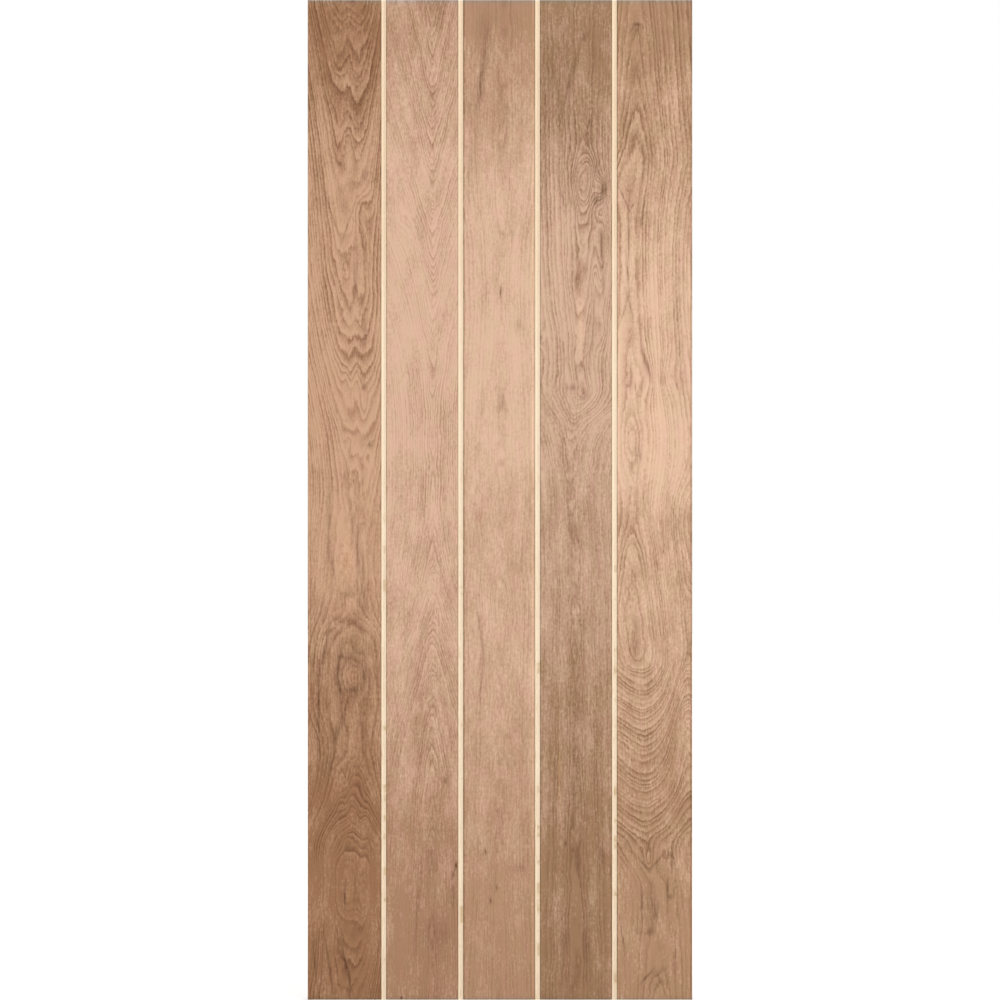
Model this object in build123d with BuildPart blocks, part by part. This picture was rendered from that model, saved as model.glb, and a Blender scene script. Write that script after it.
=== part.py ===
from build123d import *
import math
import os

# A plank-faced oak door leaf. Sizes are in millimetres.
# X runs across the leaf, Y runs through it from front to back, and Z runs up.
# The origin is the middle of the bottom edge.

# The leaf
leaf_width = 762
leaf_height = 1981
leaf_thickness = 35

# The oak planks glued to both faces
plank_count = 5
plank_thickness = 2
arris = 0.8

# The leaf is trimmed this much more on its hinge edge, which moves the grooves that way
trim_offset = 1.8

# The V-grooves, cut through the oak into the pale board behind it
groove_width = 13
groove_angle = 90

# The pale board under the planks of each face
board_thickness = 7

# The oak strip along each long edge
lipping_width = 8

# The core frame and its filling
stile_width = 45
top_rail_height = 95
bottom_rail_height = 145
stave_count = 12

# The dowels in the corners of the core frame
dowel_diameter = 10
dowel_length = 80
dowel_spacing = 50
dowel_side_clearance = 0.1
dowel_end_clearance = 1

half_width = leaf_width / 2
face_y = leaf_thickness / 2
board_y = face_y - plank_thickness
core_y = board_y - board_thickness
core_thickness = 2 * core_y

groove_slope = math.tan(math.radians(groove_angle / 2))
bevel_run = plank_thickness * groove_slope
plank_pitch = leaf_width / plank_count
groove_centres = [
    number * plank_pitch - half_width - trim_offset for number in range(1, plank_count)
]

board_half_width = half_width - lipping_width
board_groove_half_width = groove_width / 2 - bevel_run
board_groove_depth = board_groove_half_width / groove_slope

stile_inner_x = board_half_width - stile_width
opening_width = 2 * stile_inner_x
stave_width = opening_width / stave_count
stave_height = leaf_height - top_rail_height - bottom_rail_height
top_rail_z = leaf_height - top_rail_height

dowel_hole_radius = dowel_diameter / 2 + dowel_side_clearance
dowel_hole_depth = dowel_length / 2 + dowel_end_clearance
dowel_heights = [
    rail_middle + side * dowel_spacing / 2
    for rail_middle in (bottom_rail_height / 2, top_rail_z + top_rail_height / 2)
    for side in (-1, 1)
]

os.makedirs("parts", exist_ok=True)


def save(piece, name):
    piece.part.label = name
    export_step(piece.part, f"parts/{name}.step")


def front_plank(number):
    """The plank of this number, counted from the left: it bevels down to each groove beside it."""
    at_left_edge = number == 1
    at_right_edge = number == plank_count
    back_left = -half_width if at_left_edge else groove_centres[number - 2] + board_groove_half_width
    back_right = half_width if at_right_edge else groove_centres[number - 1] - board_groove_half_width
    face_left = back_left if at_left_edge else back_left + bevel_run
    face_right = back_right if at_right_edge else back_right - bevel_run
    with BuildPart() as plank:
        with BuildSketch(Plane.XY):
            with BuildLine():
                Polyline(
                    (back_left, -board_y),
                    (back_right, -board_y),
                    (face_right, -face_y),
                    (face_left, -face_y),
                    close=True,
                )
            make_face()
        extrude(amount=leaf_height)
        face_edges = plank.faces().sort_by(Axis.Y)[0].edges()
        outer_edges = face_edges.filter_by(Axis.X)
        if at_left_edge:
            outer_edges += face_edges.filter_by(Axis.Z).sort_by(Axis.X)[:1]
        if at_right_edge:
            outer_edges += face_edges.filter_by(Axis.Z).sort_by(Axis.X)[-1:]
        chamfer(outer_edges, length=arris)
    return plank


def front_board():
    """The pale board behind the front planks, with the lower part of each V-groove cut in it."""
    with BuildPart() as board:
        with BuildSketch(Plane.XY):
            with Locations((0, -board_y)):
                Rectangle(2 * board_half_width, board_thickness, align=(Align.CENTER, Align.MIN))
            with Locations([(centre, -board_y) for centre in groove_centres]):
                Polygon(
                    (-board_groove_half_width, 0),
                    (board_groove_half_width, 0),
                    (0, board_groove_depth),
                    align=None,
                    mode=Mode.SUBTRACT,
                )
        extrude(amount=leaf_height)
    return board


def on_the_back(front):
    """The same piece turned to the back face."""
    with BuildPart() as back:
        mirror(front.part, about=Plane.XZ)
    return back


def lipping(side):
    """The oak strip along one long edge, between the planks of the two faces."""
    with BuildPart() as strip:
        with BuildSketch(Plane.XY):
            with Locations((side * (half_width - lipping_width / 2), 0)):
                Rectangle(lipping_width, 2 * board_y)
        extrude(amount=leaf_height)
    return strip


def stile(side):
    """One upright of the core frame, bored for the dowels on its inner edge."""
    inner_edge = Plane(origin=(side * stile_inner_x, 0, 0), x_dir=(0, 1, 0), z_dir=(side, 0, 0))
    with BuildPart() as upright:
        with BuildSketch(Plane.XY):
            with Locations((side * (stile_inner_x + stile_width / 2), 0)):
                Rectangle(stile_width, core_thickness)
        extrude(amount=leaf_height)
        with BuildSketch(inner_edge):
            with Locations([(0, side * height) for height in dowel_heights]):
                Circle(dowel_hole_radius)
        extrude(amount=dowel_hole_depth, mode=Mode.SUBTRACT)
    return upright


def rail(low, height):
    """One cross piece of the core frame, bored for the dowels in both ends."""
    with BuildPart() as cross_piece:
        with BuildSketch(Plane.XY.offset(low)):
            Rectangle(opening_width, core_thickness)
        extrude(amount=height)
        for side in (-1, 1):
            end = Plane(origin=(side * stile_inner_x, 0, 0), x_dir=(0, 1, 0), z_dir=(-side, 0, 0))
            with BuildSketch(end):
                with Locations([(0, -side * z) for z in dowel_heights if low < z < low + height]):
                    Circle(dowel_hole_radius)
            extrude(amount=dowel_hole_depth, mode=Mode.SUBTRACT)
    return cross_piece


def stave(number):
    """The core stave of this number, counted from the left."""
    with BuildPart() as strip:
        with BuildSketch(Plane.XY.offset(bottom_rail_height)):
            with Locations(((number - 0.5) * stave_width - stile_inner_x, 0)):
                Rectangle(stave_width, core_thickness)
        extrude(amount=stave_height)
    return strip


for number in range(1, plank_count + 1):
    plank = front_plank(number)
    save(plank, f"front_plank_{number}")
    save(on_the_back(plank), f"back_plank_{number}")

board = front_board()
save(board, "front_board")
save(on_the_back(board), "back_board")

save(lipping(-1), "hinge_edge_lipping")
save(lipping(1), "lock_edge_lipping")
save(stile(-1), "hinge_stile")
save(stile(1), "lock_stile")
save(rail(0, bottom_rail_height), "bottom_rail")
save(rail(top_rail_z, top_rail_height), "top_rail")

for number in range(1, stave_count + 1):
    save(stave(number), f"core_stave_{number:02d}")

# The dowels lie along X, half in the stile and half in the rail
with BuildPart() as corner_dowels:
    for side in (-1, 1):
        with BuildSketch(Plane.YZ.offset(side * stile_inner_x - dowel_length / 2)):
            with Locations([(0, height) for height in dowel_heights]):
                Circle(dowel_diameter / 2)
        extrude(amount=dowel_length)
save(corner_dowels, "corner_dowels")
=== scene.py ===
from collections import namedtuple
from math import e

import bpy
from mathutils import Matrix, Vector


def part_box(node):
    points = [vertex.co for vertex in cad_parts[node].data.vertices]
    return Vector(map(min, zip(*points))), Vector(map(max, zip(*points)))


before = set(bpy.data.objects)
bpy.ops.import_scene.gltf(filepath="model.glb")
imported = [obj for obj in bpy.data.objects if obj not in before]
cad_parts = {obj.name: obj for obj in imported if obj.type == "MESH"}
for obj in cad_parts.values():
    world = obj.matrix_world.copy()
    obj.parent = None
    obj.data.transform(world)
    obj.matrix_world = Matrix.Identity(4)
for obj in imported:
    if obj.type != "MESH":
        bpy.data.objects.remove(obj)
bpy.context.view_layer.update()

# The leaf's main sizes, read from the frame. Blender's unit is the metre, and materials work in millimetres.
MM = 0.001
PLANK_COUNT = 5
low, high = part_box("front_board")
LEAF_HEIGHT = high.z / MM
FACE_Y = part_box("front_plank_1")[0].y
LEAF_WIDTH = (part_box("lock_edge_lipping")[1].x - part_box("hinge_edge_lipping")[0].x) / MM
PLANK_PITCH = LEAF_WIDTH / PLANK_COUNT

# The oak's base is this much lighter than its mean colour, to make up for its dark lines and pores
LIFT = 1.13
# How much light the leaf's front gets, which its colours are divided by to look as they do in the photograph
FRONT_LIGHT = 1.27

# What the oak's colour is multiplied by
DARK_LINE = (0.42, 0.29, 0.19, 1)
DARK_PORE = (0.55, 0.42, 0.31, 1)
# The marks' dark colour also serves for painted shade along an arris
DARK_MARK_AND_PAINTED_EDGE_SHADE = (0.35, 0.25, 0.18, 1)
# The marks' pale colour also serves for painted highlight along an arris
PALE_MARK_AND_PAINTED_EDGE_HIGHLIGHT = (1.3, 1.3, 1.25, 1)
PINKISH = (1.014, 0.989, 1.006, 1)
OLIVE = (0.989, 1.011, 0.972, 1)
# Painted shade on the sideways-facing bevels and edges, together with their duller cut wood
CUT_DULLNESS_AND_PAINTED_SHADE = (0.76, 0.84, 0.8, 1)
# Painted shade along the top end, bluish grey
PAINTED_TOP_SHADE = (0.75, 1.0, 1.35, 1)
# Painted shade along the foot
PAINTED_FOOT_SHADE = (0.84, 0.92, 1.05, 1)

# What the pale board's colour is multiplied by
# Painted shade on the board towards the top, warmer and darker
PAINTED_BOARD_TOP_SHADE = (0.96, 0.92, 0.88, 1)
BROWN_FLECK = (0.72, 0.62, 0.45, 1)

# How dark a growth ring is, going across its width: dark along both sides and clear in between
RING_PROFILE = [(0, 1), (0.12, 0.8), (0.3, 0.42), (0.55, 0.14), (0.75, 0.0), (0.88, 0.3), (1, 1)]

# How far large waves shift the growth rings near the heart, counted in rings
WAVES = 1.7
# How much less they do so away from the heart
CALM = 1.1
# How far small teeth along the fibres shift them
TEETH = 0.4
# How far years of good and poor growth shift them
YEARS = 1.6

# How much each pattern moves the wood's colour on its way from pale to deep
BLOTCH_TONE = 0.9
FIBRE_TONE = 0.9
RING_TONE = 0.25
RAG_TONE = 0.4
MOTTLE_TONE = 0.6

# How fast a ring's line darkens the wood, and how far a pore does
LINE_DEPTH = 1.35
PORE_DEPTH = 0.5

# How glossy every wood is
GLOSS = 0.25


def srgb(red, green, blue):
    """A colour given as it looks on screen, 0 to 255, as the linear RGBA that shaders use."""
    linear = [
        value / 12.92 if value <= 0.04045 else ((value + 0.055) / 1.055) ** 2.4
        for value in (red / 255, green / 255, blue / 255)
    ]
    return (*linear, 1.0)


def oak_base(*seen):
    """The base colour of oak that is to look like this in the photograph's light, 0 to 255."""
    return tuple(value * LIFT / FRONT_LIGHT for value in srgb(*seen)[:3]) + (1.0,)


def swing(pattern, reach):
    """A pattern of 0 to 1 that is made to swing round zero, over this reach in all."""
    return (pattern - 0.5) * reach


class Number:
    """A number in a node tree. The usual signs between numbers add Math nodes."""

    def __init__(self, tree, socket):
        self.tree = tree
        self.socket = socket

    def __add__(self, other):
        return self.tree.math("ADD", self, other)

    def __radd__(self, other):
        return self.tree.math("ADD", other, self)

    def __sub__(self, other):
        return self.tree.math("SUBTRACT", self, other)

    def __rsub__(self, other):
        return self.tree.math("SUBTRACT", other, self)

    def __mul__(self, other):
        return self.tree.math("MULTIPLY", self, other)

    def __rmul__(self, other):
        return self.tree.math("MULTIPLY", other, self)

    def __truediv__(self, other):
        return self.tree.math("DIVIDE", self, other)


class Tree:
    """The node tree of one new material, with a short method for each kind of node it uses."""

    def __init__(self, name):
        self.material = bpy.data.materials.new(name)
        self.material.use_nodes = True
        self.nodes = self.material.node_tree.nodes
        self.links = self.material.node_tree.links
        self.nodes.clear()
        self.output = self.nodes.new("ShaderNodeOutputMaterial")
        self.shader = self.nodes.new("ShaderNodeBsdfPrincipled")
        self.links.new(self.shader.outputs["BSDF"], self.output.inputs["Surface"])

    def feed(self, socket, value):
        """Gives a socket its value: a number or colour of its own, or a link."""
        if isinstance(value, Number):
            self.links.new(value.socket, socket)
        elif isinstance(value, bpy.types.NodeSocket):
            self.links.new(value, socket)
        else:
            socket.default_value = value

    def math(self, operation, *values):
        node = self.nodes.new("ShaderNodeMath")
        node.operation = operation
        for socket, value in zip(node.inputs, values):
            self.feed(socket, value)
        return Number(self, node.outputs[0])

    def clamp(self, value):
        node = self.nodes.new("ShaderNodeClamp")
        self.feed(node.inputs["Value"], value)
        return Number(self, node.outputs[0])

    def band(self, value, start, end):
        """0 below start and 1 above end, with a smooth step between."""
        node = self.nodes.new("ShaderNodeMapRange")
        node.interpolation_type = "SMOOTHSTEP"
        self.feed(node.inputs["Value"], value)
        node.inputs["From Min"].default_value = start
        node.inputs["From Max"].default_value = end
        return Number(self, node.outputs["Result"])

    def place(self):
        """Where a point lies on the leaf, in millimetres."""
        coordinates = self.nodes.new("ShaderNodeTexCoord")
        split = self.nodes.new("ShaderNodeSeparateXYZ")
        self.links.new(coordinates.outputs["Object"], split.inputs[0])
        return [Number(self, socket) / MM for socket in split.outputs]

    def facing(self):
        """The surface's own direction, as how far it faces along X, Y and Z, without sign."""
        geometry = self.nodes.new("ShaderNodeNewGeometry")
        split = self.nodes.new("ShaderNodeSeparateXYZ")
        self.links.new(geometry.outputs["Normal"], split.inputs[0])
        return [self.math("ABSOLUTE", Number(self, socket)) for socket in split.outputs]

    def vector(self, x, y, z):
        node = self.nodes.new("ShaderNodeCombineXYZ")
        for socket, value in zip(node.inputs, (x, y, z)):
            self.feed(socket, value)
        return node.outputs[0]

    def stretch(self, vector, factor, shift):
        """The vector times a factor plus a shift, both of which have an X, a Y and a Z."""
        node = self.nodes.new("ShaderNodeVectorMath")
        node.operation = "MULTIPLY_ADD"
        for socket, value in zip(node.inputs, (vector, factor, shift)):
            self.feed(socket, value)
        return node.outputs[0]

    def squared_length(self, vector):
        node = self.nodes.new("ShaderNodeVectorMath")
        node.operation = "DOT_PRODUCT"
        self.feed(node.inputs[0], vector)
        self.feed(node.inputs[1], vector)
        return Number(self, node.outputs["Value"])

    def noise(self, grain, size, detail=0.0, roughness=0.5, seed=0.0):
        """Smooth noise from 0 to 1, with lumps of the given width and length in millimetres.
        The seed moves the noise along, so that no two are alike."""
        width, length = size
        stretched = self.stretch(grain, (1 / width, 1 / length, 1), (seed, seed * 1.7, 0))
        node = self.nodes.new("ShaderNodeTexNoise")
        node.noise_dimensions = "2D"
        self.links.new(stretched, node.inputs["Vector"])
        node.inputs["Scale"].default_value = 1.0
        node.inputs["Detail"].default_value = detail
        node.inputs["Roughness"].default_value = roughness
        return Number(self, node.outputs["Fac"])

    def dice(self, value):
        """A random number from 0 to 1 that belongs to this value."""
        node = self.nodes.new("ShaderNodeTexWhiteNoise")
        node.noise_dimensions = "1D"
        self.feed(node.inputs["W"], value)
        return Number(self, node.outputs["Value"])

    def curve(self, value, points):
        """A smooth curve through the points, each a pair of input and result."""
        inputs = [point[0] for point in points]
        results = [point[1] for point in points]
        start, width = inputs[0], inputs[-1] - inputs[0]
        lowest, height = min(results), (max(results) - min(results)) or 1.0
        node = self.nodes.new("ShaderNodeFloatCurve")
        line = node.mapping.curves[0]
        scaled = [((a - start) / width, (b - lowest) / height) for a, b in points]
        line.points[0].location = scaled[0]
        line.points[-1].location = scaled[-1]
        for point in scaled[1:-1]:
            line.points.new(*point)
        for point in line.points:
            point.handle_type = "AUTO_CLAMPED"
        node.mapping.update()
        self.feed(node.inputs["Value"], (value - start) / width)
        return Number(self, node.outputs[0]) * height + lowest

    def mix(self, share, first, second, blend="MIX"):
        """A colour between two colours, or the second blended over the first."""
        node = self.nodes.new("ShaderNodeMix")
        node.data_type = "RGBA"
        node.blend_type = blend
        self.feed(node.inputs["Factor"], share)
        self.feed(node.inputs[6], first)
        self.feed(node.inputs[7], second)
        return node.outputs[2]

    def darken(self, color, share, factor):
        """Multiplies the colour by the factor, as far as the share says."""
        return self.mix(share, color, self.mix(1.0, color, factor, "MULTIPLY"))

    def finish(self, color, roughness, relief, depth):
        """Ends the material: its colour, its roughness, and a relief whose full height is depth in metres."""
        bump = self.nodes.new("ShaderNodeBump")
        bump.inputs["Distance"].default_value = depth
        self.feed(bump.inputs["Height"], relief)
        self.feed(self.shader.inputs["Base Color"], color)
        self.feed(self.shader.inputs["Roughness"], roughness)
        self.shader.inputs["Specular IOR Level"].default_value = GLOSS
        self.links.new(bump.outputs["Normal"], self.shader.inputs["Normal"])
        return self.material


# How one oak plank was sawn from its log. Going down is measured as a share of the leaf's height
# from the top, and going across as a share of the planks' pitch from the plank's middle.
# pale and deep: the lightest and the darkest colour of its wood, as they look in the photograph.
# tone: how far the wood has darkened from its pale colour to its deep one, going down.
# clear: how clearly the growth rings show, going down.
# arms: how much more or less clearly they show away from the heart.
# heart: where the middle of the figure lies across the plank, going down.
# climb: how many growth rings are crossed, going down the heart.
# spread: how many more are crossed, going sideways from the heart.
# flare: how much the spread is stretched, going down.
# jag: how ragged the rings are round the heart.
# knots: places where the rings swell round a knot or a hump.
# marks: dark specks, streaks and stains, and pale ones with an amount below zero. Some long streaks along a
# plank's edge are painted shade and painted highlight on its arris.
FIGURE_PARTS = "pale deep clear arms tone heart climb spread knots marks flare jag"
Figure = namedtuple("Figure", FIGURE_PARTS, defaults=[None, 1.0])

# Knots and marks are soft round spots, which may lean. A knot's amount is counted in rings.
SPOT_PARTS = "across down width height amount lean"
Knot = namedtuple("Knot", SPOT_PARTS, defaults=[0.0])
Mark = namedtuple("Mark", SPOT_PARTS, defaults=[0.0])

# The five front planks, counted from the left
FIGURES = {
    # U shapes in the upper half, an eye two thirds of the way down, and arches below it
    1: Figure(
        pale=(202, 161, 130),
        deep=(154, 111, 77),
        clear=[
            (0, 1.1), (0.15, 1.2), (0.22, 1), (0.33, 1.05), (0.46, 1.1), (0.53, 0.4), (0.59, 0.4),
            (0.63, 1), (0.7, 0.9), (0.76, 1.1), (0.84, 1.05), (0.865, 0.5), (0.91, 0.45), (0.93, 0.8),
            (1, 1),
        ],
        arms=1.1,
        tone=[
            (0, 0.6), (0.012, 0.84), (0.15, 0.27), (0.3, 0.07), (0.4, 0), (0.5, 0.08), (0.57, 0.2),
            (0.63, 0.5), (0.7, 0.68), (0.85, 1), (1, 1),
        ],
        heart=[
            (0, 0.06), (0.24, 0.06), (0.3, 0.1), (0.36, 0.14), (0.46, 0.17), (0.52, 0.12),
            (0.58, 0.07), (0.67, 0.1), (0.88, 0.1), (1, 0.0),
        ],
        climb=[
            (0, 0), (0.13, 8), (0.24, 12), (0.3, 13.5), (0.4, 19.5), (0.46, 23), (0.5, 24), (0.57, 24.5),
            (0.605, 24), (0.65, 20.5), (0.69, 20), (0.735, 20.5), (0.765, 19.5), (0.85, 7.5), (0.89, 4),
            (0.925, 7), (1, 10.5),
        ],
        spread=[
            (-0.8, 18), (-0.65, 13), (-0.5, 8.4), (-0.4, 5.6), (-0.3, 3.1), (-0.2, 1.3), (-0.1, 0.4), (0, 0),
            (0.1, 0.2), (0.2, 1), (0.3, 2.8), (0.4, 5.8), (0.5, 9.6),
        ],
        flare=[
            (0, 1), (0.55, 0.9), (0.63, 0.65), (0.7, 0.65), (0.77, 1.2), (0.84, 1.2), (0.89, 2),
            (0.93, 1.4), (1, 0.9),
        ],
        knots=[
            Knot(0.05, 0.05, 0.08, 0.1, 1.3),
            Knot(0.06, 0.14, 0.08, 0.04, 0.7),
            Knot(0.22, 0.215, 0.12, 0.03, 2.2),
            Knot(0.13, 0.285, 0.05, 0.03, 0.9),
            Knot(0.15, 0.4, 0.06, 0.07, 1.2),
            Knot(0.02, 0.38, 0.04, 0.012, 0.9),
            Knot(0.26, 0.41, 0.05, 0.012, -0.9),
            Knot(0.06, 0.44, 0.05, 0.01, 1),
            Knot(0.3, 0.455, 0.05, 0.012, 0.9),
            Knot(0.1, 0.674, 0.13, 0.014, -2),
            Knot(0.14, 0.68, 0.05, 0.006, -0.9),
            Knot(0.3, 0.665, 0.07, 0.008, 1.1),
            Knot(0.02, 0.775, 0.05, 0.01, 1),
            Knot(0.2, 0.785, 0.06, 0.012, -1),
            Knot(-0.06, 0.805, 0.06, 0.01, -0.9),
            Knot(0.1, 0.805, 0.06, 0.04, -1.4),
            Knot(0.2, 0.82, 0.04, 0.009, 0.9),
            Knot(0.3, 0.832, 0.05, 0.02, -1.1),
            Knot(0.02, 0.84, 0.05, 0.01, -0.8),
            Knot(0.0, 0.88, 0.05, 0.025, -1.6),
            Knot(0.2, 0.87, 0.05, 0.018, 1.4),
            Knot(0.24, 0.91, 0.05, 0.02, -1.4),
            Knot(0.08, 0.927, 0.06, 0.008, 0.9),
        ],
        marks=[
            Mark(-0.2, 0.632, 0.05, 0.004, 0.5, -9),
            Mark(-0.27, 0.655, 0.03, 0.02, 0.6, -2.6),
            Mark(-0.33, 0.7, 0.02, 0.03, 0.4, -0.8),
            Mark(-0.35, 0.75, 0.014, 0.03, 0.3),
            Mark(0.09, 0.674, 0.17, 0.0175, 1.7),
            Mark(0.09, 0.6745, 0.135, 0.0135, -1.9),
            Mark(0.25, 0.675, 0.025, 0.009, 0.5),
            Mark(0.11, 0.69, 0.08, 0.0025, 0.45),
            Mark(0.0, 0.621, 0.14, 0.004, 0.45),
            Mark(0.27, 0.64, 0.04, 0.012, 0.35, 6),
            Mark(-0.08, 0.672, 0.02, 0.012, 0.4),
            Mark(-0.02, 0.658, 0.08, 0.003, 0.35),
            Mark(-0.04, 0.692, 0.02, 0.01, 0.5, 3),
            Mark(0.01, 0.708, 0.02, 0.01, 0.6, -3),
            Mark(-0.1, 0.733, 0.06, 0.014, 0.4, -5),
            Mark(-0.2, 0.765, 0.06, 0.012, 0.3, -5),
            Mark(0.0, 0.897, 0.014, 0.01, 0.8),
            Mark(0.13, 0.89, 0.016, 0.014, 0.35),
            Mark(0.04, 0.59, 0.04, 0.01, 0.25),
            Mark(0.03, 0.56, 0.08, 0.03, -0.4),
            Mark(0.14, 0.275, 0.03, 0.02, 0.4),
            Mark(0.28, 0.175, 0.06, 0.006, 0.35),
            Mark(-0.177, 0.212, 0.014, 0.03, 0.45, 4.3),
            Mark(0.03, 0.227, 0.014, 0.018, 0.45, -4.1),
            Mark(0.22, 0.2035, 0.05, 0.002, 0.5),
            Mark(0.1, 0.53, 0.025, 0.02, 0.45),
            Mark(0.17, 0.55, 0.03, 0.03, 0.5),
            Mark(0.24, 0.57, 0.025, 0.02, 0.45),
            Mark(0.25, 0.6, 0.06, 0.016, 0.3),
            Mark(-0.2, 0.52, 0.035, 0.03, 0.35),
            Mark(-0.16, 0.565, 0.025, 0.015, 0.35, 3),
            Mark(-0.27, 0.615, 0.05, 0.01, 0.25),
            Mark(0.26, 0.336, 0.02, 0.008, 0.5),
            Mark(0.26, 0.388, 0.04, 0.004, 0.5),
            Mark(0.33, 0.444, 0.03, 0.004, 0.4),
            Mark(0.0, 0.478, 0.02, 0.006, 0.4),
            Mark(0.23, 0.482, 0.02, 0.006, 0.4),
            Mark(0.0, 0.595, 0.08, 0.004, 0.25),
            Mark(-0.44, 0.62, 0.008, 0.12, 0.45),
            Mark(-0.39, 0.64, 0.008, 0.1, 0.35),
            Mark(-0.34, 0.7, 0.01, 0.07, 0.35, 0.3),
            Mark(0.0, 0.96, 0.018, 0.024, 0.65, 3),
            Mark(0.06, 0.99, 0.014, 0.016, 0.45),
            Mark(-0.2, 0.966, 0.016, 0.028, 0.5, 2),
            Mark(-0.39, 0.96, 0.014, 0.03, 0.4, 1.2),
        ],
    ),
    # V shapes in the upper half and arches in the lower one
    2: Figure(
        pale=(216, 178, 152),
        deep=(168, 127, 97),
        clear=[
            (0, 0.8), (0.3, 0.6), (0.34, 0.45), (0.4, 0.95), (0.47, 0.95), (0.53, 0.7), (0.62, 0.65),
            (0.75, 0.7), (0.8, 0.4), (1, 0.45),
        ],
        arms=0.45,
        tone=[
            (0, 0.7), (0.12, 0.32), (0.24, 0.04), (0.35, 0), (0.5, 0.1), (0.65, 0.36), (0.8, 0.7), (0.95, 1),
            (1, 1),
        ],
        heart=[(0, 0.13), (0.5, 0.14), (1, 0.12)],
        climb=[
            (0, 0), (0.13, 14), (0.33, 38), (0.37, 41), (0.43, 43), (0.49, 43), (0.54, 41), (0.62, 31),
            (0.7, 20), (0.75, 15), (0.78, 13), (0.85, 11), (1, 9),
        ],
        spread=[
            (-0.7, 21), (-0.35, 11), (-0.2, 6.2), (-0.1, 2.6), (-0.03, 0.4), (0, 0), (0.03, 0.4), (0.1, 2.6),
            (0.2, 6.2), (0.38, 12),
        ],
        knots=[
            Knot(-0.3, 0.215, 0.1, 0.02, -3),
            Knot(-0.32, 0.59, 0.12, 0.02, 2),
            Knot(0.12, 0.85, 0.1, 0.03, -3),
        ],
        marks=[
            Mark(0.3, 0.781, 0.018, 0.003, 0.8),
            Mark(0.44, 0.866, 0.016, 0.003, 1),
            Mark(0.4, 0.875, 0.02, 0.006, 0.5, -4),
            Mark(0.4, 0.895, 0.03, 0.014, 0.35),
            Mark(-0.27, 0.998, 0.02, 0.002, 0.9),
            Mark(0.1, 0.768, 0.04, 0.006, -0.4, 6),
            Mark(0.02, 0.8, 0.02, 0.03, -0.3),
            Mark(0.12, 0.86, 0.05, 0.02, 0.25),
            Mark(0.22, 0.935, 0.2, 0.02, 0.2),
            Mark(-0.05, 0.9, 0.02, 0.05, 0.3, -1),
        ],
        jag=1.3,
    ),
    # Almost plain wood, with a dark streak near the top
    3: Figure(
        pale=(217, 180, 153),
        deep=(176, 136, 106),
        clear=[
            (0, 0.35), (0.2, 0.3), (0.28, 0.45), (0.34, 0.25), (0.5, 0.25), (0.6, 0.35), (0.8, 0.3),
            (1, 0.4),
        ],
        arms=0.9,
        tone=[
            (0, 1.3), (0.05, 0.95), (0.15, 0.5), (0.24, 0.12), (0.42, 0.05), (0.53, 0.4), (0.63, 0.35),
            (0.73, 0.6), (0.85, 0.85), (0.95, 1), (1, 1),
        ],
        heart=[(0, 0.05), (0.5, 0.03), (1, 0)],
        climb=[
            (0, 2), (0.1, 1.5), (0.2, 2.4), (0.3, 4.6), (0.36, 4), (0.5, 3), (0.56, 4), (0.6, 3),
            (0.7, 3.5), (1, 2),
        ],
        spread=[(-0.6, 12), (-0.3, 6), (-0.1, 1.6), (0, 0), (0.1, 1.6), (0.3, 5.5), (0.6, 11)],
        knots=[Knot(0.05, 0.6, 0.1, 0.016, -1.2), Knot(-0.25, 0.64, 0.1, 0.03, 1.5)],
        marks=[
            Mark(-0.22, 0.072, 0.045, 0.03, 0.45, -1.6),
            Mark(-0.24, 0.088, 0.035, 0.018, 0.32, -1),
            Mark(-0.2, 0.03, 0.1, 0.02, 0.25),
            Mark(0.1, 0.015, 0.4, 0.03, 0.12),
            Mark(-0.39, 0.18, 0.025, 0.03, 0.25),
            Mark(0.02, 0.292, 0.012, 0.006, 0.6),
            Mark(0.25, 0.326, 0.06, 0.006, 0.25),
            Mark(0.05, 0.405, 0.05, 0.01, 0.25),
            Mark(0.03, 0.463, 0.04, 0.004, 0.3),
            Mark(0.29, 0.208, 0.01, 0.003, 0.5),
            Mark(0.17, 0.234, 0.02, 0.008, 0.35),
            Mark(-0.23, 0.64, 0.02, 0.03, 0.35, 1.5),
            Mark(-0.24, 0.69, 0.02, 0.02, 0.3, -1),
            Mark(-0.18, 0.852, 0.015, 0.003, 0.7),
            Mark(-0.03, 0.888, 0.015, 0.003, 0.7),
            Mark(-0.11, 0.901, 0.015, 0.003, 0.8),
            Mark(0.27, 0.868, 0.07, 0.006, 0.25),
            # Painted highlight along the right arris, on a strip of paler wood
            Mark(0.436, 0.5, 0.01, 3, -0.65),
            Mark(-0.452, 0.5, 0.008, 3, 0.45),
        ],
    ),
    # Swirls round knots in the upper half, and straight fibres below
    4: Figure(
        pale=(208, 172, 147),
        deep=(156, 119, 87),
        clear=[
            (0, 0.45), (0.1, 0.55), (0.16, 1.15), (0.22, 1.1), (0.3, 0.9), (0.37, 0.9), (0.41, 0.7),
            (0.46, 0.65), (0.5, 0.55), (0.7, 0.6), (0.8, 0.75), (1, 0.75),
        ],
        arms=0.9,
        tone=[
            (0, 1), (0.1, 0.74), (0.2, 0.2), (0.3, 0), (0.4, 0.14), (0.5, 0.36), (0.6, 0.48), (0.7, 0.72),
            (0.8, 0.82), (0.9, 1.05), (1, 1.05),
        ],
        heart=[(0, 0.1), (0.18, 0.1), (0.3, 0.06), (0.4, 0.04), (0.46, -0.06), (0.6, 0.0), (1, 0)],
        climb=[
            (0, 3.3), (0.13, 3.6), (0.22, 4), (0.3, 5.5), (0.37, 7.2), (0.385, 7), (0.4, 8), (0.43, 13),
            (0.46, 15), (0.5, 16), (0.7, 15.5), (1, 14),
        ],
        spread=[(-0.6, 10), (-0.3, 5), (-0.12, 1.6), (0, 0), (0.12, 1.6), (0.3, 5), (0.5, 9)],
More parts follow.
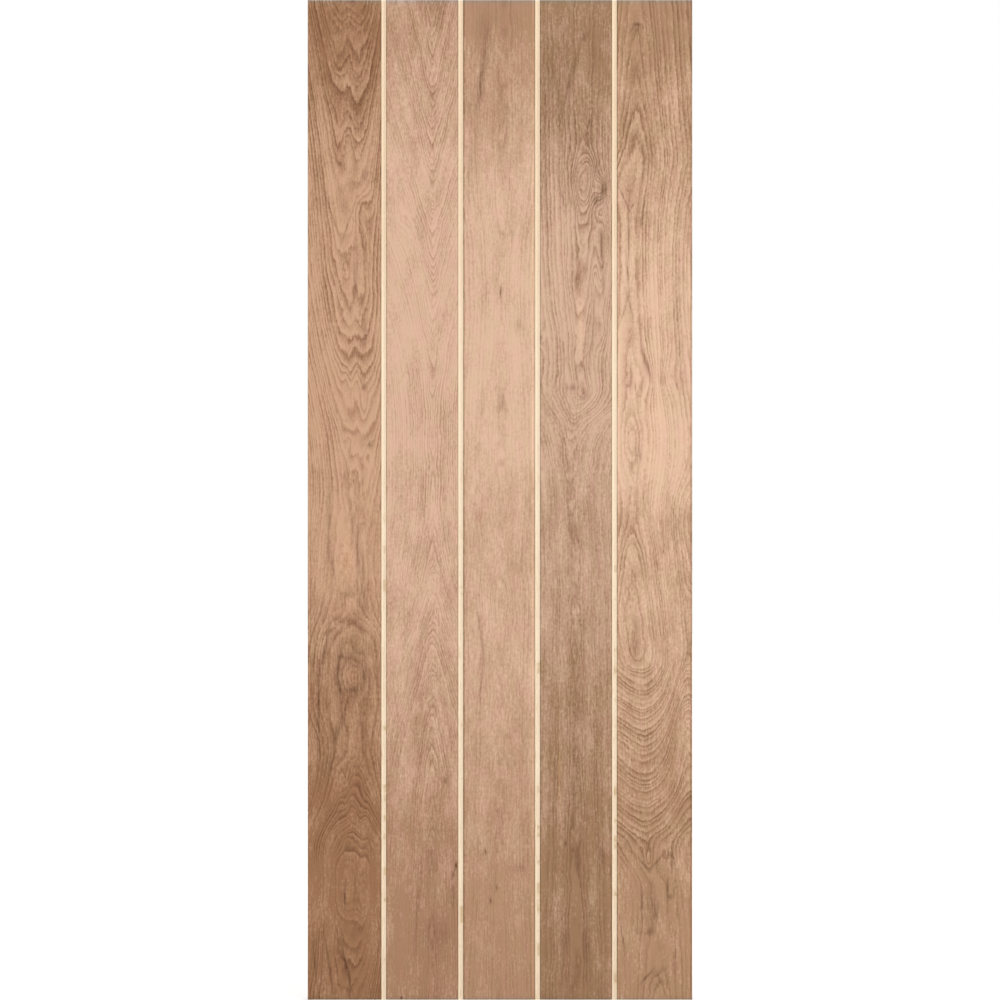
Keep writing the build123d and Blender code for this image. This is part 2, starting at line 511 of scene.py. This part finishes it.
        knots=[
            Knot(0.09, 0.185, 0.14, 0.024, -4.2),
            Knot(0.2, 0.165, 0.08, 0.014, -1.6),
            Knot(-0.04, 0.2, 0.06, 0.014, 1),
            Knot(0.33, 0.188, 0.09, 0.012, -4.5),
            Knot(0.3, 0.212, 0.08, 0.01, 1.6),
            Knot(0.35, 0.25, 0.07, 0.04, -3.4),
            Knot(0.25, 0.29, 0.05, 0.03, 1.4),
            Knot(0.33, 0.33, 0.08, 0.014, -2),
            Knot(-0.06, 0.387, 0.06, 0.006, 1),
            Knot(0.12, 0.392, 0.06, 0.006, -1.2),
            Knot(-0.46, 0.338, 0.06, 0.01, -2),
        ],
        marks=[
            Mark(0.36, 0.189, 0.05, 0.009, 0.75),
            Mark(0.29, 0.2, 0.07, 0.006, 0.45),
            Mark(0.25, 0.17, 0.12, 0.02, 0.25),
            Mark(-0.3, 0.08, 0.18, 0.05, 0.2),
            Mark(-0.25, 0.24, 0.15, 0.09, -0.15),
            Mark(0.17, 0.123, 0.025, 0.004, 0.5),
            Mark(0.1, 0.032, 0.025, 0.01, 0.4),
            Mark(-0.07, 0.08, 0.03, 0.025, 0.35, -3.5),
            Mark(-0.2, 0.19, 0.015, 0.02, 0.4, 3),
            Mark(-0.46, 0.338, 0.02, 0.004, 0.7),
            Mark(0.06, 0.32, 0.04, 0.045, -0.55),
            Mark(0.06, 0.368, 0.05, 0.006, 0.45),
            Mark(-0.05, 0.388, 0.07, 0.003, 0.5),
            Mark(0.12, 0.397, 0.05, 0.004, 0.35),
            Mark(0.34, 0.25, 0.02, 0.02, 0.5),
            Mark(0.36, 0.285, 0.02, 0.012, 0.45),
            Mark(-0.21, 0.78, 0.014, 0.04, -0.8),
            Mark(-0.13, 0.844, 0.013, 0.003, 0.7),
            Mark(0.0, 0.864, 0.03, 0.008, 0.35),
            Mark(0.34, 0.854, 0.03, 0.01, 0.4),
            Mark(0.13, 0.945, 0.04, 0.014, 0.35),
            Mark(-0.14, 0.942, 0.05, 0.012, 0.3),
            Mark(-0.04, 0.99, 0.02, 0.008, 0.45),
        ],
    ),
    # Narrow arches at the top, a crimped line across, a long oval, and wide U shapes below it
    5: Figure(
        pale=(224, 186, 158),
        deep=(175, 136, 104),
        clear=[
            (0, 1.15), (0.1, 1.2), (0.17, 1.15), (0.22, 0.9), (0.36, 0.9), (0.42, 0.6), (0.46, 0.4),
            (0.5, 0.6), (0.54, 0.9), (0.6, 0.7), (0.65, 0.7), (0.68, 1.05), (0.74, 1.1), (0.76, 0.85),
            (0.785, 1.1), (0.83, 1.15), (0.87, 0.6), (0.93, 0.5), (1, 0.6),
        ],
        arms=0.85,
        tone=[
            (0, 1.2), (0.12, 0.72), (0.22, 0.42), (0.32, 0.08), (0.44, 0), (0.54, 0.45), (0.62, 0.45),
            (0.7, 0.62), (0.85, 0.95), (1, 1.05),
        ],
        heart=[
            (0, -0.24), (0.14, -0.22), (0.18, -0.3), (0.22, -0.33), (0.3, -0.32), (0.45, -0.28),
            (0.6, -0.27), (0.66, -0.18), (0.7, -0.13), (0.85, -0.11), (0.9, 0.08), (1, 0.07),
        ],
        climb=[
            (0, 10.5), (0.026, 10), (0.075, 9), (0.112, 8), (0.14, 7), (0.164, 6), (0.185, 5.6),
            (0.213, 6.05), (0.25, 6.2), (0.29, 6.05), (0.36, 5.3), (0.4, 5), (0.44, 4.4), (0.5, 5.4),
            (0.57, 2.6), (0.64, 1.6), (0.66, 2.2), (0.673, 4.4), (0.74, 18.6), (0.778, 25),
            (0.826, 34), (0.85, 37), (0.88, 38), (1, 36),
        ],
        spread=[
            (-0.5, 7), (-0.3, 3.8), (-0.15, 1.3), (-0.05, 0.2), (0, 0), (0.06, 0.4), (0.16, 1.6), (0.3, 3.7),
            (0.5, 6.6), (0.85, 11.6),
        ],
        flare=[
            (0, 1), (0.46, 1), (0.53, 1.35), (0.6, 1.1), (0.68, 0.75), (0.72, 0.65), (0.84, 0.65),
            (1, 1),
        ],
        jag=0.5,
        knots=[
            Knot(-0.1, 0.378, 0.12, 0.018, -1.8),
            Knot(0.17, 0.378, 0.12, 0.018, 1.8),
            Knot(0.45, 0.3, 0.4, 0.2, 4.5),
            Knot(0.4, 0.6, 0.3, 0.12, 5),
            Knot(-0.3, 0.442, 0.1, 0.016, -1),
            Knot(0.42, 0.715, 0.2, 0.08, 8.5),
            Knot(-0.07, 0.86, 0.06, 0.012, -1.4),
            Knot(0.1, 0.85, 0.05, 0.01, 1),
            Knot(0.24, 0.865, 0.06, 0.012, -1.2),
            Knot(0.05, 0.965, 0.06, 0.012, 1),
        ],
        marks=[
            Mark(-0.23, 0.0245, 0.045, 0.0018, 0.75),
            Mark(-0.29, 0.029, 0.014, 0.004, 0.45, -8),
            Mark(-0.16, 0.027, 0.02, 0.003, 0.5),
            Mark(-0.4, 0.198, 0.012, 0.013, 0.6, 5.5),
            Mark(-0.285, 0.206, 0.014, 0.006, 0.5, -8),
            Mark(-0.335, 0.235, 0.012, 0.025, 0.75),
            Mark(-0.16, 0.215, 0.014, 0.022, 0.4, -2),
            Mark(-0.35, 0.272, 0.012, 0.02, 0.55, 1),
            Mark(-0.4, 0.312, 0.014, 0.016, 0.35, -4),
            Mark(-0.32, 0.305, 0.012, 0.012, 0.45, 3.5),
            Mark(0.25, 0.888, 0.012, 0.01, 0.4),
            Mark(0.27, 0.955, 0.014, 0.03, 0.35),
            Mark(-0.1, 0.366, 0.04, 0.016, 0.6, 4),
            Mark(-0.31, 0.378, 0.02, 0.01, 0.6),
            Mark(-0.34, 0.386, 0.03, 0.002, 0.5),
            Mark(-0.25, 0.387, 0.012, 0.004, 0.6),
            Mark(-0.17, 0.389, 0.012, 0.005, 0.6),
            Mark(-0.2, 0.396, 0.03, 0.002, 0.4),
            Mark(-0.21, 0.454, 0.06, 0.01, 0.35),
            Mark(-0.02, 0.43, 0.14, 0.05, -0.15),
            Mark(0.33, 0.33, 0.1, 0.08, 0.12),
            Mark(0.1, 0.02, 0.4, 0.04, 0.1),
            Mark(-0.3, 0.469, 0.03, 0.006, 0.35),
            Mark(-0.26, 0.645, 0.05, 0.015, 0.2),
            Mark(0.1, 0.38, 0.04, 0.006, 0.4),
            Mark(-0.16, 0.863, 0.02, 0.008, 0.6, 10),
            Mark(0.03, 0.862, 0.02, 0.008, 0.5, -11),
            Mark(-0.165, 0.903, 0.02, 0.014, 0.5),
            Mark(-0.05, 0.908, 0.12, 0.018, 0.3),
            Mark(0.02, 0.912, 0.03, 0.01, 0.35),
            Mark(-0.07, 0.932, 0.1, 0.004, 0.35),
            Mark(0.23, 0.862, 0.02, 0.01, 0.6),
            Mark(0.17, 0.888, 0.014, 0.01, 0.6),
            Mark(0.2, 0.897, 0.04, 0.003, 0.5),
            Mark(-0.42, 0.935, 0.014, 0.02, 0.5, 2),
            Mark(-0.1, 0.977, 0.02, 0.007, 0.6, -11),
            Mark(0.05, 0.977, 0.014, 0.007, 0.4, 4.6),
            # Painted highlight along the left arris
            Mark(-0.464, 0.5, 0.008, 3, -0.35),
            # Painted shade on the leaf's outer right arris
            Mark(0.474, 0.5, 0.01, 3, 0.45),
        ],
    ),
}

# The lippings show a plain straight grain
LIPPING_FIGURE = Figure(
    pale=(206, 166, 134),
    deep=(160, 119, 88),
    clear=[(0, 0.6), (1, 0.6)],
    arms=1.0,
    tone=[(0, 0.5), (1, 0.6)],
    heart=[(0, 0), (1, 0)],
    climb=[(0, 0), (1, 3)],
    spread=[(-0.6, 30), (0, 0), (0.6, 30)],
    knots=[],
    marks=[],
)


def soft_spots(tree, across, down, spots):
    """The sum of soft round bumps, one for each spot and as high as its amount."""
    upright = tree.vector(across, down, 0)
    total = 0.0
    for spot in spots:
        place = upright
        if spot.lean:
            place = tree.vector(across - (down - spot.down) * spot.lean, down, 0)
        factor = (1 / spot.width, 1 / spot.height, 0)
        shift = (-spot.across / spot.width, -spot.down / spot.height, 0)
        far = tree.squared_length(tree.stretch(place, factor, shift))
        total = tree.math("MULTIPLY_ADD", tree.math("POWER", 1 / e, far), spot.amount, total)
    return total


def growth_rings(tree, seed, figure, grain, across, down):
    """The rings' dark lines, how clearly they show, each ring's own chance, and their ragged edge."""
    off_heart = across - tree.curve(down, figure.heart)
    sideways = tree.curve(off_heart, figure.spread)
    if figure.flare:
        sideways = sideways * tree.curve(down, figure.flare)
    rings = tree.curve(down, figure.climb) + sideways + soft_spots(tree, across, down, figure.knots)

    # Waves, teeth and years shift the rings. The waves are largest near the heart.
    away = tree.band(tree.math("ABSOLUTE", off_heart), 0.08, 0.4)
    waves = tree.noise(grain, (30, 70), detail=1.6, seed=seed)
    teeth = tree.noise(grain, (4, 16), detail=1, seed=seed + 5)
    rings = rings + swing(waves, WAVES - away * CALM) * figure.jag + swing(teeth, TEETH)
    years = tree.noise(tree.vector(rings, 0, 0), (2.6, 1), seed=seed + 70)
    rings = rings + swing(years, YEARS)

    # Each ring has its own strength, is ragged along the fibres and is weaker in some patches
    chance = tree.dice(tree.math("FLOOR", rings) + seed)
    patches = tree.noise(grain, (25, 70), detail=1, seed=seed + 9)
    rags = tree.noise(grain, (3, 10), detail=1, roughness=0.6, seed=seed + 15)
    clear = tree.curve(down, figure.clear) * (away * (figure.arms - 1) + 1)
    line = tree.curve(tree.math("FRACT", rings), RING_PROFILE) * (chance * 0.9 + 0.3)
    line = line * clear * (tree.band(patches, 0.25, 0.65) * 0.6 + 0.4) * (rags * 0.9 + 0.4)
    return line, clear, chance, rags


def oak(name, seed, figure, middle, upside_down=False):
    """The material of one oak plank, whose middle lies at this X in millimetres."""
    tree = Tree(name)
    x, y, z = tree.place()
    grain = tree.vector(x + y, z, 0)
    across = (x - middle) / PLANK_PITCH
    down = z / LEAF_HEIGHT if upside_down else 1 - z / LEAF_HEIGHT
    line, clear, chance, rags = growth_rings(tree, seed, figure, grain, across, down)

    # Fibres and open pores run up and down the plank
    fibres = tree.noise(grain, (3.4, 26), detail=2, roughness=0.6, seed=seed + 21)
    pores = tree.band(tree.noise(grain, (1.1, 7), seed=seed + 33), 0.58, 0.75)
    pores = pores * (line * 0.8 + 0.2)

    # Blotches, a fine mottle, and faint patches of pinkish and olive wood
    blotches = tree.noise(grain, (36, 110), detail=2, seed=seed + 41)
    mottle = tree.noise(grain, (5, 6), detail=1, seed=seed + 60)
    tone = tree.curve(down, figure.tone) + swing(blotches, BLOTCH_TONE) + swing(fibres, FIBRE_TONE)
    tone = tone + (chance - 0.5) * clear * RING_TONE + swing(rags, RAG_TONE) + swing(mottle, MOTTLE_TONE)
    color = tree.mix(tone, oak_base(*figure.pale), oak_base(*figure.deep))
    hues = tree.noise(grain, (30, 60), detail=1, seed=seed + 52)
    color = tree.mix(1.0, color, tree.mix(tree.band(hues, 0.3, 0.7), PINKISH, OLIVE), "MULTIPLY")

    # The rings' lines, the pores and the marks, which break up along the fibres. The marks include painted
    # shade and painted highlight along some arrises
    color = tree.darken(color, 1 - tree.math("EXPONENT", line * -LINE_DEPTH), DARK_LINE)
    color = tree.darken(color, pores * PORE_DEPTH, DARK_PORE)
    if figure.marks:
        marks = soft_spots(tree, across, down, figure.marks) * (fibres * 1.8 + 0.1)
        color = tree.darken(color, tree.clamp(marks), DARK_MARK_AND_PAINTED_EDGE_SHADE)
        color = tree.darken(color, tree.clamp(marks * -1), PALE_MARK_AND_PAINTED_EDGE_HIGHLIGHT)

    # The bevels and the long edges, which face sideways, are darkened: partly their duller cut wood, partly
    # painted shade. Both ends get a band of painted shade
    cut = tree.band(tree.facing()[0], 0.3, 0.6)
    color = tree.darken(color, cut, CUT_DULLNESS_AND_PAINTED_SHADE)
    # Painted shade: a bluish-grey band along the top end
    color = tree.darken(color, tree.band(z, LEAF_HEIGHT - 14, LEAF_HEIGHT + 6), PAINTED_TOP_SHADE)
    # Painted shade: a darker grey band along the foot
    color = tree.darken(color, 1 - tree.band(z, 1, 8), PAINTED_FOOT_SHADE)
    relief = fibres - pores * 0.6
    return tree.finish(color, roughness=0.62 + 0.2 * pores, relief=relief, depth=0.0002)


def pale_wood(name):
    """The pale board that the grooves are cut into."""
    tree = Tree(name)
    x, y, z = tree.place()
    grain = tree.vector(x + y, z, 0)
    fibres = tree.noise(grain, (1.6, 90), detail=2, seed=3)
    blotches = tree.noise(grain, (20, 120), detail=2, seed=8)
    tone = tree.clamp(0.5 + swing(fibres, 0.8) + swing(blotches, 0.6))
    color = tree.mix(tone, srgb(243, 229, 207), srgb(232, 213, 188))

    # It is made a little warmer and darker towards the top, which is painted shade, and has brown flecks in
    # its lower half
    upper = tree.band(z, LEAF_HEIGHT * 0.6, LEAF_HEIGHT * 0.8)
    color = tree.darken(color, upper, PAINTED_BOARD_TOP_SHADE)
    flecks = tree.band(tree.noise(grain, (2, 34), detail=2, seed=19), 0.56, 0.7)
    lower = 1 - tree.band(z, LEAF_HEIGHT * 0.35, LEAF_HEIGHT * 0.6)
    color = tree.darken(color, flecks * lower * 0.7, BROWN_FLECK)
    return tree.finish(color, roughness=0.7, relief=fibres, depth=0.0001)


def plain_wood(name, pale, deep, seed):
    """Plain wood with a straight grain, for what lies inside the leaf."""
    tree = Tree(name)
    x, y, z = tree.place()
    grain = tree.vector(x + y, z, 0)
    fibres = tree.noise(grain, (3, 110), detail=2, seed=seed)
    rings = tree.math("FRACT", tree.noise(grain, (40, 600), seed=seed + 4) * 14)
    line = tree.curve(rings, RING_PROFILE)
    color = tree.mix(tree.clamp(fibres * 0.6 + line * 0.5), srgb(*pale), srgb(*deep))
    return tree.finish(color, roughness=0.75, relief=fibres, depth=0.0002)


def dress(node, material):
    """Puts a better material on a node of the frame."""
    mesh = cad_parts[node].data
    mesh.materials.clear()
    mesh.materials.append(material)


# The back planks take the figures of the front ones in the other order and upside down
for number, figure in FIGURES.items():
    box_low, box_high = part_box(f"front_plank_{number}")
    middle = (box_low.x + box_high.x) / 2 / MM
    seed = number * 13.7
    dress(f"front_plank_{number}", oak(f"oak_front_{number}", seed, figure, middle))
    turned = FIGURES[PLANK_COUNT + 1 - number]
    back_oak = oak(f"oak_back_{number}", seed + 70, turned, middle, upside_down=True)
    dress(f"back_plank_{number}", back_oak)

board_material = pale_wood("pale_board")
dress("front_board", board_material)
dress("back_board", board_material)

core_material = plain_wood("core_softwood", pale=(222, 190, 148), deep=(190, 146, 100), seed=2)
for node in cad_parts:
    if node.startswith("core_stave") or node.endswith(("_stile", "_rail")):
        dress(node, core_material)

dowel_material = plain_wood("dowel_beech", pale=(214, 178, 140), deep=(186, 146, 108), seed=6)
dress("corner_dowels", dowel_material)

lipping_material = oak("oak_lipping", seed=7.0, figure=LIPPING_FIGURE, middle=0.0)
dress("hinge_edge_lipping", lipping_material)
dress("lock_edge_lipping", lipping_material)


def floor():
    """A plain pale floor, just under the leaf, that glows a little so that it looks white."""
    reach = 30.0
    gap = 0.0005
    mesh = bpy.data.meshes.new("floor")
    corners = [(-reach, -reach), (reach, -reach), (reach, reach), (-reach, reach)]
    mesh.from_pydata([(x, y, -gap) for x, y in corners], [], [(0, 1, 2, 3)])
    sheet = bpy.data.objects.new("floor", mesh)
    bpy.context.scene.collection.objects.link(sheet)
    material = bpy.data.materials.new("floor")
    material.use_nodes = True
    shader = material.node_tree.nodes["Principled BSDF"]
    shader.inputs["Base Color"].default_value = (0.85, 0.85, 0.85, 1)
    shader.inputs["Roughness"].default_value = 0.9
    shader.inputs["Emission Color"].default_value = (1, 1, 1, 1)
    shader.inputs["Emission Strength"].default_value = 0.25
    mesh.materials.append(material)


def lamp(name, place, target, size, power):
    """A square lamp of this size in metres and power in watts, turned to its target."""
    data = bpy.data.lights.new(name, "AREA")
    data.shape = "SQUARE"
    data.size = size
    data.energy = power
    panel = bpy.data.objects.new(name, data)
    panel.location = place
    panel.rotation_euler = (Vector(target) - Vector(place)).to_track_quat("-Z", "Y").to_euler()
    bpy.context.scene.collection.objects.link(panel)


def camera():
    """Looks at the leaf square on, from far off, with the leaf's top at the picture's top."""
    picture_rows = 1000
    leaf_rows = 999.6
    sensor = 36.0
    lens = 200.0
    row = LEAF_HEIGHT * MM / leaf_rows
    distance = row * picture_rows * lens / sensor
    height = LEAF_HEIGHT * MM - row * picture_rows / 2
    data = bpy.data.cameras.new("camera")
    data.sensor_width = sensor
    data.lens = lens
    data.clip_end = 200
    eye = bpy.data.objects.new("camera", data)
    eye.location = (0, FACE_Y - distance, height)
    eye.rotation_euler = Vector((0, 1, 0)).to_track_quat("-Z", "Y").to_euler()
    bpy.context.scene.collection.objects.link(eye)
    bpy.context.scene.camera = eye


def studio():
    """Even white light from all round, and colours shown as they are."""
    world = bpy.data.worlds.new("studio")
    world.use_nodes = True
    background = world.node_tree.nodes["Background"]
    background.inputs["Color"].default_value = (1, 1, 1, 1)
    background.inputs["Strength"].default_value = 1.0
    bpy.context.scene.world = world
    bpy.context.scene.view_settings.view_transform = "Standard"


floor()
lamp("key", place=(2.6, -4.2, 3.2), target=(0, 0, 1.1), size=2.4, power=60)
camera()
studio()
